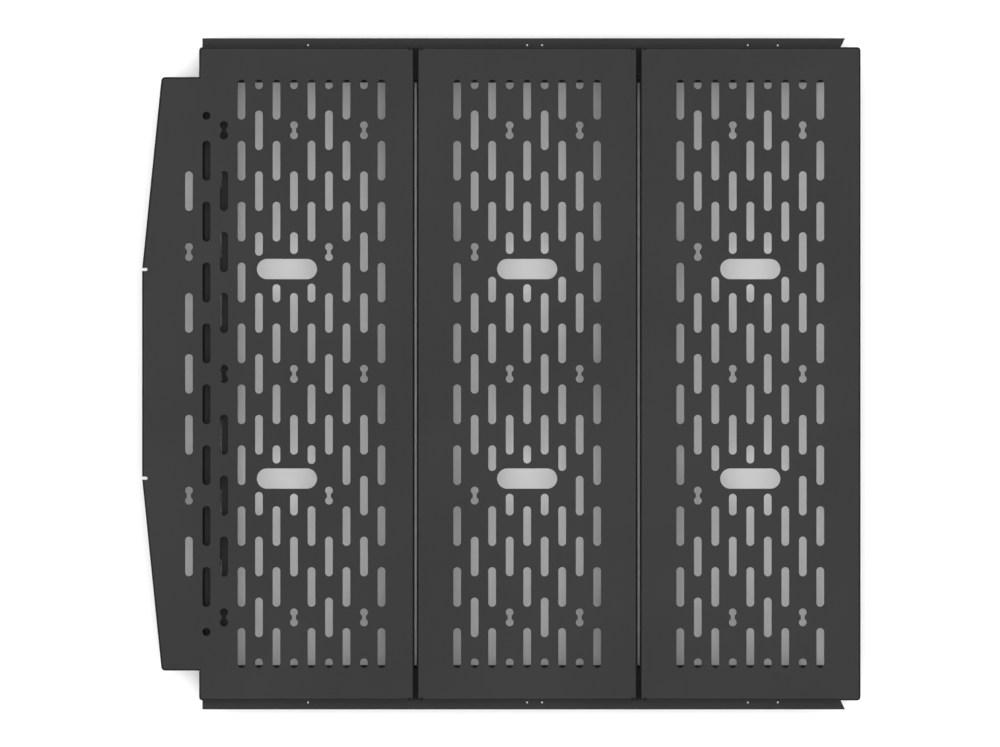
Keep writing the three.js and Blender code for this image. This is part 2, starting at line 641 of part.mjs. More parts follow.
for (const [sideName, side] of [['left', 1], ['right', -1]]) {
  const railPosition = [RAIL_FRONT_X, side * RAIL_WEB_Y, 0];
  addPiece(frame, `${sideName}_side_rail`, sideRail(side), powderCoat(), railPosition);

  // Panel bolts hang through the lips and the rails' top flanges.
  panelBoltXs().forEach((x, i) => {
    const grip = PANEL_SHEET + FIT_GAP + RAIL_SHEET;
    const position = [x, side * BOLT_Y, PANEL_BOTTOM + PANEL_SHEET];
    addFastener(rack, 'panel', `${sideName}_${i + 1}`, grip, position, 0);
  });

  // Crossmember bolts pass inwards through the rail webs and the end plates.
  crossBoltOffsets().forEach((offset, i) => {
    const grip = RAIL_SHEET + FIT_GAP + CROSS_SHEET;
    const position = [CROSS_CENTRE_X + offset, side * (RAIL_WEB_Y + RAIL_SHEET), CROSS_BOLT_Z];
    addFastener(rack, 'cross', `${sideName}_${i + 1}`, grip, position, -side * Math.PI / 2);
  });
}

export default rack;
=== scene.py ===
"""Finished look of a slotted headache rack, modelled round its fixed CAD frame.

The rack lies flat on the floor with its slotted face up and its tapered front
end towards -X. Three pressed panels stand on two folded side rails, a slotted
crossmember ties the rails under the front end, and hexagon bolts hold it all
together from below. All sizes are in metres.
"""

import logging
import math
from collections.abc import Callable, Iterator, Sequence
from dataclasses import dataclass, field
from enum import Enum

import bmesh
import bpy
from mathutils import Matrix, Vector


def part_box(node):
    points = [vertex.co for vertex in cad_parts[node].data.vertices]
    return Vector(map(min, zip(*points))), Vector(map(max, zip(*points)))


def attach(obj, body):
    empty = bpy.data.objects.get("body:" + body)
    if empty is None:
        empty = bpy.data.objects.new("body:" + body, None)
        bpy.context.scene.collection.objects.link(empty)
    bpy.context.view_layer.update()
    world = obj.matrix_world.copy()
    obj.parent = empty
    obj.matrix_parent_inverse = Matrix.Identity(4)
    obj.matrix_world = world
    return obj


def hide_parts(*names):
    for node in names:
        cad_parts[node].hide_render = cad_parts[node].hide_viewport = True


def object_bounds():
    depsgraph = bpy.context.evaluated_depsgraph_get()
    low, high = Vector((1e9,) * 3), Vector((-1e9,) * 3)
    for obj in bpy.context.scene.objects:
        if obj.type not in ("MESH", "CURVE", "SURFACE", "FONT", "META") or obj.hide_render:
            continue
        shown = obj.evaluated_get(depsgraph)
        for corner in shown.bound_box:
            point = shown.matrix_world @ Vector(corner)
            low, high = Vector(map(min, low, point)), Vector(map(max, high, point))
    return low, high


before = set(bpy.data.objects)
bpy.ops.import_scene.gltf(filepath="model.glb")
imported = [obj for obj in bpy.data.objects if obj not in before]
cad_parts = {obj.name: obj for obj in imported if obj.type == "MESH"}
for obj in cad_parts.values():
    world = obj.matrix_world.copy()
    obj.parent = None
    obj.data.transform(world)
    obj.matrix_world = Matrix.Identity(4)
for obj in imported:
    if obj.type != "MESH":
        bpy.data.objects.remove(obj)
cad_low, cad_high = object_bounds()

LOG = logging.getLogger("headache_rack")
MM = 0.001
CUT = 0.002  # how far a cutting body runs past the faces it cuts
NEAR = 0.00002  # places closer than this are the same place
SKIN = 0.00001  # a cutting tool's mouth stands this far off the sheet it cuts
FINE_DEBURR = 0.3 * MM  # rim of the smaller holes
BOLT_HOLE = 3.5 * MM  # radius of the holes for the M6 bolts
SMOOTH_BELOW = math.radians(50)  # edges sharper than this stay sharp


class Element(Enum):
    """What a selection is made of."""

    VERT = "VERT"
    EDGE = "EDGE"
    FACE = "FACE"


class Axis(Enum):
    """Direction that a punch is stretched along or driven in."""

    X = 0
    Y = 1


def node_middle(node: str) -> Vector:
    """Gives the middle of a CAD node's box."""
    low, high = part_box(node)
    return (low + high) / 2


def nodes_named(start: str) -> list[str]:
    """Lists the CAD nodes whose names begin so, in order."""
    return sorted(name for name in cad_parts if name.startswith(start))


def edge_on(axis: Axis, *places: float) -> Callable[[Vector, Vector, float], bool]:
    """Makes a test for edges that lie in one of some planes.

    Args:
        axis: Direction that the planes face.
        places: Where the planes stand along it.

    Returns:
        The test, which Workpiece.pick calls with two end points and an angle.
    """

    def test(a: Vector, b: Vector, angle: float) -> bool:
        """Tells whether both ends lie in the same plane."""
        i = axis.value
        return any(max(abs(a[i] - place), abs(b[i] - place)) < NEAR for place in places)

    return test


# ------------------------------------------------------------ bench tools


class Workpiece:
    """One mesh on the bench, shaped with edit-mode tools and modifiers."""

    def __init__(self, obj: bpy.types.Object) -> None:
        """Takes an object onto the bench.

        Args:
            obj: A mesh object at the origin, unturned and unscaled.
        """
        self.obj = obj

    @staticmethod
    def _fresh(name: str) -> "Workpiece":
        """Names the primitive just added and moves its place into its mesh.

        Args:
            name: Name of the new object and its mesh.

        Returns:
            The primitive as a workpiece.
        """
        obj = bpy.context.active_object
        obj.name = name
        obj.data.name = name
        bpy.ops.object.transform_apply(location=True, rotation=True, scale=True)
        return Workpiece(obj)

    @classmethod
    def block(cls, name: str, low: Sequence[float], high: Sequence[float]) -> "Workpiece":
        """Adds a block between two corners.

        Args:
            name: Name of the new object.
            low: Lowest corner.
            high: Highest corner.

        Returns:
            The block.
        """
        bpy.ops.object.select_all(action="DESELECT")
        low_corner, high_corner = Vector(low), Vector(high)
        bpy.ops.mesh.primitive_cube_add(
            size=1, location=(low_corner + high_corner) / 2, scale=high_corner - low_corner
        )
        return cls._fresh(name)

    @classmethod
    def plate(cls, name: str, low: Sequence[float], high: Sequence[float], z: float) -> "Workpiece":
        """Adds a flat rectangle without thickness, facing up.

        Args:
            name: Name of the new object.
            low: Lowest X and Y.
            high: Highest X and Y.
            z: Height of the rectangle.

        Returns:
            The rectangle.
        """
        bpy.ops.object.select_all(action="DESELECT")
        middle = ((low[0] + high[0]) / 2, (low[1] + high[1]) / 2, z)
        bpy.ops.mesh.primitive_plane_add(size=1, location=middle)
        bpy.context.active_object.scale = (high[0] - low[0], high[1] - low[1], 1)
        return cls._fresh(name)

    @classmethod
    def rod(cls, name: str, radius: float, low_z: float, high_z: float, sides: int) -> "Workpiece":
        """Adds an upright rod on the Z axis, with flats facing along X and Y.

        Args:
            name: Name of the new object.
            radius: Distance from the axis to the flats.
            low_z: Height of the lower end.
            high_z: Height of the upper end.
            sides: Number of flats.

        Returns:
            The rod.
        """
        bpy.ops.object.select_all(action="DESELECT")
        bpy.ops.mesh.primitive_cylinder_add(
            vertices=sides,
            radius=radius / math.cos(math.pi / sides),
            depth=high_z - low_z,
            location=(0, 0, (low_z + high_z) / 2),
            rotation=(0, 0, math.pi / sides),
        )
        return cls._fresh(name)

    def copy(self, name: str) -> "Workpiece":
        """Makes a copy with a mesh of its own.

        Args:
            name: Name of the copy.

        Returns:
            The copy.
        """
        twin = self.obj.copy()
        twin.data = self.obj.data.copy()
        twin.name = name
        bpy.context.collection.objects.link(twin)
        return Workpiece(twin)

    def discard(self) -> None:
        """Removes the object and its mesh."""
        mesh = self.obj.data
        bpy.data.objects.remove(self.obj)
        bpy.data.meshes.remove(mesh)

    def _activate(self) -> None:
        """Makes this the only selected object and the active one."""
        if bpy.context.mode != "OBJECT":
            bpy.ops.object.mode_set(mode="OBJECT")
        bpy.ops.object.select_all(action="DESELECT")
        self.obj.select_set(True)
        bpy.context.view_layer.objects.active = self.obj

    def pick(self, element: Element, test: Callable[..., bool]) -> "Workpiece":
        """Selects elements in edit mode and leaves edit mode on.

        Args:
            element: Kind of element to select.
            test: Called with a point for a vertex, two end points and the angle
                between the faces for an edge, or a centre and a normal for a face.

        Returns:
            This workpiece, so that an operator can follow.
        """
        if bpy.context.mode != "EDIT_MESH" or bpy.context.active_object is not self.obj:
            self._activate()
            bpy.ops.object.mode_set(mode="EDIT")
        bpy.ops.mesh.select_mode(type=element.value)
        bpy.ops.mesh.select_all(action="DESELECT")
        mesh = bmesh.from_edit_mesh(self.obj.data)
        if element is Element.VERT:
            for vert in mesh.verts:
                vert.select_set(test(vert.co))
        elif element is Element.EDGE:
            for edge in mesh.edges:
                angle = edge.calc_face_angle(math.pi)
                edge.select_set(test(edge.verts[0].co, edge.verts[1].co, angle))
        else:
            for face in mesh.faces:
                face.select_set(test(face.calc_center_median(), face.normal))
        mesh.select_flush_mode()
        bmesh.update_edit_mesh(self.obj.data)
        return self

    def pick_all(self) -> "Workpiece":
        """Selects every face in edit mode."""
        return self.pick(Element.FACE, lambda centre, normal: True)

    def extrude(self, offset: Sequence[float]) -> "Workpiece":
        """Extrudes the selected faces or edges.

        Args:
            offset: How far the new elements move.

        Returns:
            This workpiece.
        """
        bpy.ops.mesh.extrude_region_move(TRANSFORM_OT_translate={"value": tuple(offset)})
        return self

    def shift(self, offset: Sequence[float]) -> "Workpiece":
        """Moves what is selected.

        Args:
            offset: How far it moves.

        Returns:
            This workpiece.
        """
        bpy.ops.transform.translate(value=tuple(offset))
        return self

    def swell(self, factor: float) -> "Workpiece":
        """Scales what is selected about the Z axis, in X and Y.

        Args:
            factor: New size over old size.

        Returns:
            This workpiece.
        """
        bpy.ops.transform.resize(value=(factor, factor, 1), center_override=(0, 0, 0))
        return self

    def bevel(self, width: float, segments: int, corners: bool = False) -> "Workpiece":
        """Rounds the selected edges, or the selected corner vertices of a flat face.

        Args:
            width: Distance that the rounding reaches from the edge or corner.
            segments: Number of facets.
            corners: Rounds vertices in the plane of their face instead of edges.

        Returns:
            This workpiece.
        """
        affected = "VERTICES" if corners else "EDGES"
        bpy.ops.mesh.bevel(offset=width, segments=segments, affect=affected, profile=0.5)
        return self

    def slice(
        self, point: Sequence[float], normal: Sequence[float], drop: bool = False
    ) -> "Workpiece":
        """Cuts the whole mesh along a plane.

        Args:
            point: Point on the plane.
            normal: Normal of the plane.
            drop: Removes what lies on the normal's side and caps the cut.

        Returns:
            This workpiece.
        """
        self.pick_all()
        bpy.ops.mesh.bisect(
            plane_co=tuple(point), plane_no=tuple(normal), use_fill=drop, clear_outer=drop
        )
        return self

    def face_outwards(self) -> "Workpiece":
        """Turns every face to the outside of the closed shape.

        Returns:
            This workpiece.
        """
        self.pick_all()
        bpy.ops.mesh.normals_make_consistent(inside=False)
        return self

    def done(self) -> "Workpiece":
        """Leaves edit mode."""
        self._activate()
        return self

    def modify(self, kind: str, **settings: object) -> "Workpiece":
        """Adds a modifier and applies it.

        Args:
            kind: Blender's name for the type of modifier.
            settings: Values of the modifier's properties.

        Returns:
            This workpiece.
        """
        self._activate()
        bpy.ops.object.modifier_add(type=kind)
        modifier = self.obj.modifiers[-1]
        for setting, value in settings.items():
            setattr(modifier, setting, value)
        bpy.ops.object.modifier_apply(modifier=modifier.name)
        return self

    def cut(self, tool: "Workpiece") -> "Workpiece":
        """Removes a tool's volume and discards the tool.

        Args:
            tool: Body whose volume is removed.

        Returns:
            This workpiece.
        """
        self.modify("BOOLEAN", operation="DIFFERENCE", solver="EXACT", object=tool.obj)
        tool.discard()
        return self

    def weld(self, other: "Workpiece") -> "Workpiece":
        """Joins another body into this one and discards it.

        Args:
            other: Body that is joined.

        Returns:
            This workpiece.
        """
        self.modify("BOOLEAN", operation="UNION", solver="EXACT", object=other.obj)
        other.discard()
        return self

    @staticmethod
    def bundle(name: str, tools: Sequence["Workpiece"]) -> "Workpiece":
        """Gathers bodies that don't touch into one object.

        Args:
            name: Name of the gathered object.
            tools: The bodies, which are used up.

        Returns:
            The gathered object.
        """
        tools[0]._activate()
        for tool in tools[1:]:
            tool.obj.select_set(True)
        bpy.ops.object.join()
        tools[0].obj.name = name
        return tools[0]

    def polish(self) -> "Workpiece":
        """Cleans the mesh and shades rounded edges softly between true flats.

        Returns:
            This workpiece.
        """
        self.pick_all()
        bpy.ops.mesh.remove_doubles(threshold=NEAR / 10)
        bpy.ops.mesh.dissolve_degenerate(threshold=NEAR / 10)
        flat, upright = 0.999, 0.02
        self.pick(Element.FACE, lambda centre, normal: upright < abs(normal.z) < flat)
        bpy.ops.mesh.mod_weighted_strength(set=True, face_strength="WEAK")
        bpy.ops.mesh.select_all(action="INVERT")
        bpy.ops.mesh.mod_weighted_strength(set=True, face_strength="STRONG")
        self.done()
        bpy.ops.object.shade_smooth_by_angle(angle=SMOOTH_BELOW)
        return self.modify(
            "WEIGHTED_NORMAL", mode="FACE_AREA", weight=50, keep_sharp=True, use_face_influence=True
        )


# --------------------------------------------------------------- finishes


class Signal:
    """A number in a shader. Arithmetic on it adds Math nodes."""

    def __init__(self, board: "NodeBoard", socket: bpy.types.NodeSocket) -> None:
        """Wraps an output socket of a node on a board."""
        self.board = board
        self.socket = socket

    def _math(self, operation: str, first: "Signal | float", second: "Signal | float") -> "Signal":
        """Adds one Math node.

        Args:
            operation: Blender's name for the operation.
            first: Left operand.
            second: Right operand.

        Returns:
            The result.
        """
        node = self.board.add("ShaderNodeMath", {"operation": operation}, {0: first, 1: second})
        return Signal(self.board, node.outputs[0])

    def __add__(self, other: "Signal | float") -> "Signal":
        """Sum."""
        return self._math("ADD", self, other)

    __radd__ = __add__

    def __sub__(self, other: "Signal | float") -> "Signal":
        """Difference."""
        return self._math("SUBTRACT", self, other)

    def __rsub__(self, other: float) -> "Signal":
        """Difference from a number on the left."""
        return self._math("SUBTRACT", other, self)

    def __mul__(self, other: "Signal | float") -> "Signal":
        """Product."""
        return self._math("MULTIPLY", self, other)

    __rmul__ = __mul__

    def __pow__(self, other: "Signal | float") -> "Signal":
        """Power."""
        return self._math("POWER", self, other)

    def ramp(self, start: float, end: float) -> "Signal":
        """Rises smoothly from 0 to 1 as the number goes from start to end.

        Args:
            start: Number that gives 0.
            end: Number that gives 1.

        Returns:
            The rising number.
        """
        node = self.board.add(
            "ShaderNodeMapRange",
            {"interpolation_type": "SMOOTHSTEP"},
            {"Value": self, "From Min": start, "From Max": end},
        )
        return Signal(self.board, node.outputs["Result"])


class NodeBoard:
    """The node tree of one material, with a Principled shader on it."""

    def __init__(self, name: str) -> None:
        """Makes a material whose nodes are laid out here.

        Args:
            name: Name of the material.
        """
        self.material = bpy.data.materials.new(name)
        self.material.use_nodes = True
        self.nodes = self.material.node_tree.nodes
        self.links = self.material.node_tree.links
        self.shader = self.nodes["Principled BSDF"]
        self.place = self.add("ShaderNodeTexCoord", {}, {})

    def add(
        self, kind: str, settings: dict[str, object], inputs: dict[int | str, object]
    ) -> bpy.types.Node:
        """Adds a node, sets its properties and then fills its sockets.

        Args:
            kind: Blender's name for the type of node.
            settings: Properties of the node, such as an operation.
            inputs: Value, Signal or output socket for each input socket.

        Returns:
            The node.
        """
        node = self.nodes.new(kind)
        for setting, value in settings.items():
            setattr(node, setting, value)
        self.feed(node, inputs)
        return node

    def feed(self, node: bpy.types.Node, inputs: dict[int | str, object]) -> None:
        """Fills input sockets of a node with numbers, colours or links.

        Args:
            node: The node whose sockets are filled.
            inputs: Value, Signal or output socket for each input socket.
        """
        for key, value in inputs.items():
            source = value.socket if isinstance(value, Signal) else value
            if isinstance(source, bpy.types.NodeSocket):
                self.links.new(source, node.inputs[key])
            else:
                node.inputs[key].default_value = source

    def noise(self, scale: float, detail: float = 2.0, stretch: Sequence[float] = (1, 1, 1)) -> Signal:
        """Adds noise on the piece's own coordinates.

        Args:
            scale: Features per metre.
            detail: Number of finer layers.
            stretch: Scale of the coordinates along each axis.

        Returns:
            Noise about 0.5.
        """
        mapping = self.add(
            "ShaderNodeMapping", {}, {"Vector": self.place.outputs["Object"], "Scale": stretch}
        )
        node = self.add(
            "ShaderNodeTexNoise",
            {"noise_dimensions": "3D"},
            {"Vector": mapping.outputs[0], "Scale": scale, "Detail": detail, "Roughness": 0.55},
        )
        return Signal(self, node.outputs["Fac"])

    def tilt(self) -> Signal:
        """Shows how far the surface tilts.

        Returns:
            1 midway between level and upright, and 0 on both.
        """
        split = self.add("ShaderNodeSeparateXYZ", {}, {0: self.place.outputs["Normal"]})
        level = Signal(self, split.outputs["Z"]) ** 2.0
        return 4.0 * level * (1.0 - level)

    def blend(self, first: object, second: object, share: Signal) -> bpy.types.NodeSocket:
        """Mixes two colours.

        Args:
            first: Colour where the share is 0.
            second: Colour where the share is 1.
            share: Share of the second colour.

        Returns:
            The mixed colour.
        """
        node = self.add(
            "ShaderNodeMix", {"data_type": "RGBA"}, {"Factor": share, "A": first, "B": second}
        )
        return node.outputs["Result"]

    def bump(self, height: Signal, depth: float, under: object = None) -> bpy.types.NodeSocket:
        """Adds relief to the surface.

        Args:
            height: Height of the relief, 0 to 1.
            depth: Depth in metres that a height of 1 stands for.
            under: Normal of coarser relief that this lies on.

        Returns:
            The normal.
        """
        inputs = {"Height": height, "Distance": depth, "Strength": 1.0}
        if under is not None:
            inputs["Normal"] = under
        return self.add("ShaderNodeBump", {}, inputs).outputs["Normal"]


def grey(level: float, warmth: float = 0.0) -> tuple[float, float, float, float]:
    """Gives a grey, a little warm or cool, as a linear colour."""
    return (level * (1 + warmth), level, level * (1 - warmth), 1.0)


@dataclass(frozen=True)
class PowderCoat:
    """Matt black powder coat over steel sheet.

    The coat is painted darker round the bends and the punched rims as painted
    shade, and painted a little paler where the bends begin as a painted highlight.
    """

    slot: str = "powder_coat"
    body: float = 0.0170
    pale: float = 0.0210
    # colour of the painted shade on the bends and the punched rims
    painted_shade: float = 0.0020
    # colour of the painted highlight where the bends begin
    painted_highlight: float = 0.042
    roughness: float = 0.50
    gloss: float = 0.10
    peel_per_metre: float = 320.0
    peel_depth: float = 0.06 * MM
    grain_per_metre: float = 1500.0
    grain_depth: float = 0.03 * MM

    def material(self) -> bpy.types.Material:
        """Builds the material.

        Returns:
            The material.
        """
        board = NodeBoard("powder_coat_black")
        drift = board.noise(4.5, 3.0).ramp(0.35, 0.65)
        cloud = board.noise(38.0, 4.0)
        grain = board.noise(self.grain_per_metre, 3.0)
        peel = board.noise(self.peel_per_metre, 2.0)
        fleck = board.noise(900.0, 1.0).ramp(0.66, 0.74)
        tilt = board.tilt()
        # painted shade: mask of where the surface tilts, on the bends and the rim chamfers
        painted_shade = tilt.ramp(0.12, 0.55)
        # band of painted highlight just where the bends begin
        shoulder = tilt.ramp(0.01, 0.06) * (1.0 - tilt.ramp(0.08, 0.20))
        # painted highlight mask: the band broken up unevenly by noise
        painted_highlight = shoulder * board.noise(70.0, 4.0).ramp(0.30, 0.60)
        coat = board.blend(grey(self.body), grey(self.pale), drift * 0.6 + cloud * 0.4)
        coat = board.blend(coat, grey(self.pale * 1.3), fleck * 0.35)
        # paints the highlight, a little warm, over the coat
        coat = board.blend(coat, grey(self.painted_highlight, 0.02), painted_highlight * 0.6)
        # paints the shade darker over the coat
        coat = board.blend(coat, grey(self.painted_shade), painted_shade * 0.9)
        # the painted highlight band is also made a little glossier
        rough = self.roughness + 0.10 * (cloud - 0.5) + 0.05 * (grain - 0.5) - 0.08 * painted_highlight
        relief = board.bump(grain, self.grain_depth, board.bump(peel, self.peel_depth))
        board.feed(
            board.shader,
            {
                "Base Color": coat,
                "Roughness": rough,
                "Normal": relief,
                "Metallic": 0.0,
                "Specular IOR Level": self.gloss,
            },
        )
        return board.material


@dataclass(frozen=True)
class ZincPlate:
    """Bright zinc plate on the fasteners, with dull patches and fine turning lines."""

    slot: str = "zinc_plate"
    bright: float = 0.60
    dull: float = 0.40
    roughness: float = 0.30
    line_depth: float = 0.02 * MM

    def material(self) -> bpy.types.Material:
        """Builds the material.

        Returns:
            The material.
        """
        board = NodeBoard("zinc_plate_bright")
        patch = board.noise(260.0, 4.0).ramp(0.40, 0.66)
        lines = board.noise(300.0, 2.0, (1, 1, 14))
        fine = board.noise(2600.0, 2.0)
        tint = board.blend(grey(self.bright, -0.015), grey(self.dull, 0.02), patch * 0.8)
        rough = self.roughness + 0.22 * patch + 0.08 * (fine - 0.5)
        relief = board.bump(lines * 0.5 + fine * 0.5, self.line_depth)
        board.feed(
            board.shader,
            {"Base Color": tint, "Roughness": rough, "Normal": relief, "Metallic": 1.0},
        )
        return board.material


@dataclass(frozen=True)
class PaleFloor:
    """Plain pale studio floor."""

    level: float = 0.86

    def material(self) -> bpy.types.Material:
        """Builds the material.

        Returns:
            The material.
        """
        board = NodeBoard("pale_floor")
        mottle = board.noise(6.0, 3.0)
        tone = board.blend(grey(self.level * 0.985), grey(self.level), mottle)
        board.feed(
            board.shader,
            {"Base Color": tone, "Roughness": 0.8 + 0.1 * mottle, "Specular IOR Level": 0.2},
        )
        return board.material


class Finisher:
    """Dresses finished workpieces, puts them under the root body and hides the nodes they replace."""

    def __init__(self) -> None:
        """Builds each finish once."""
        finishes = (PowderCoat(), ZincPlate())
        self.finishes = {type(finish): (finish, finish.material()) for finish in finishes}

    def deliver(self, piece: Workpiece, finish: type, node: str) -> None:
        """Gives a piece its finish and its body, names it after its node and hides that node.

        Args:
            piece: The finished workpiece.
            finish: Class of its finish.
            node: CAD node that it replaces.
        """
        made, material = self.finishes[finish]
        piece.done()
        piece.obj.name = f"{node}_finished"
        piece.obj.data.name = piece.obj.name
        piece.obj.data.materials.clear()
        piece.obj.data.materials.append(material)
        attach(piece.obj, "root")
        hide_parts(node)
        LOG.info("%s: %d faces", piece.obj.name, len(piece.obj.data.polygons))


# ---------------------------------------------------------------- punches


@dataclass
class Punch:
    """Round cutting tool driven through one sheet, with a mouth that deburrs both rims."""

    radius: float
    low: float
    high: float
    sides: int = 20
    deburr: float = 0.4 * MM

    def make(self, name: str) -> Workpiece:
        """Models the punch on the Z axis.

        Args:
            name: Name of the tool.

        Returns:
            The tool.
        """
        low, high = self.low + self.deburr, self.high - self.deburr
        tool = Workpiece.rod(name, self.radius, low, high, self.sides)
        for sign, limit in ((1, self.high), (-1, self.low)):
            inner = limit - sign * self.deburr
            tool.pick(Element.FACE, lambda centre, normal: abs(centre.z - inner) < NEAR)
            tool.extrude((0, 0, sign * (self.deburr + SKIN))).swell(1 + self.deburr / self.radius)
            tool.extrude((0, 0, sign * CUT))
        return tool.done()


def stretched(
    tool: Workpiece, name: str, axis: Axis, start: Sequence[float], end: Sequence[float]
) -> Workpiece:
    """Copies a tool and stretches it between two centres.

    Args:
        tool: Tool on the Z axis.
        name: Name of the copy.
        axis: Direction of the stretch.
        start: X and Y of the lower centre.
        end: X and Y of the higher centre.

    Returns:
        The stretched copy.
    """
    twin = tool.copy(name)
    for vert in twin.obj.data.vertices:
        anchor = end if vert.co[axis.value] > 0 else start
        vert.co.x += anchor[0]
        vert.co.y += anchor[1]
    return twin


# ----------------------------------------------------------------- panels


@dataclass
class SlotField:
    """Layout of the slots of one panel, laid from the rear column forwards."""

    rear_column: float
    columns: int
    hand_x: float
    reach: Callable[[float], float]
    rows: int = 4
    row_pitch: float = 76.2 * MM
    column_pitch: float = 21.9 * MM
    slot_length: float = 49.6 * MM
    slot_width: float = 9.6 * MM
    hole_pitch: float = 12.7 * MM
    hand_length: float = 75.2 * MM
    hand_width: float = 25.4 * MM
    hand_offset: float = 131.1 * MM
    hand_web: float = 6.3 * MM

    @property
    def core(self) -> float:
        """Distance between the centres of a slot's round ends."""
        return self.slot_length - self.slot_width

    @property
    def hand_core(self) -> float:
        """Distance between the centres of a hand slot's round ends."""
        return self.hand_length - self.hand_width

    def trimmed(self, low: float, high: float, x: float) -> list[tuple[float, float]]:
        """Keeps what the column's reach and the hand slots leave of a core.

        Args:
            low: Lower end of the core.
            high: Upper end of the core.
            x: Place of the column.

        Returns:
            The remaining cores.
        """
        reach = self.reach(x)
        cores = [(max(low, -reach), min(high, reach))]
        clearance = self.hand_width / 2 + self.hand_web + self.slot_width / 2
        beside = max(0.0, abs(x - self.hand_x) - self.hand_core / 2)
        if beside < clearance:
            clear = math.sqrt(clearance**2 - beside**2)
            for hand_y in (-self.hand_offset, self.hand_offset):
                cores = [
                    part
                    for start, end in cores
                    for part in ((start, min(end, hand_y - clear)), (max(start, hand_y + clear), end))
                ]
        return [(start, end) for start, end in cores if end - start > -NEAR / 1000]

    def holes(self) -> Iterator[tuple[str, float, float, float]]:
        """Lists the openings.

        Yields:
            Kind of opening (slot or pair), its X, and the ends of its core.
        """
        for column in range(self.columns):
            x = self.rear_column - column * self.column_pitch
            shifted = column % 2 == 0
            pair_row = 0 if (column - 1) % 4 == 0 else 2
            for row in range(-self.rows - 1, self.rows + 2):
                y = (row + 0.5 if shifted else row) * self.row_pitch
                half = self.hole_pitch / 2
                if not shifted and abs(row) % 4 == pair_row:
                    kept = self.trimmed(y - half, y + half, x)
                    if len(kept) == 1 and kept[0][1] - kept[0][0] > self.hole_pitch - NEAR / 1000:
                        yield "pair", x, y - half, y + half
                        continue
                for low, high in self.trimmed(y - self.core / 2, y + self.core / 2, x):
                    yield "slot", x, low, high


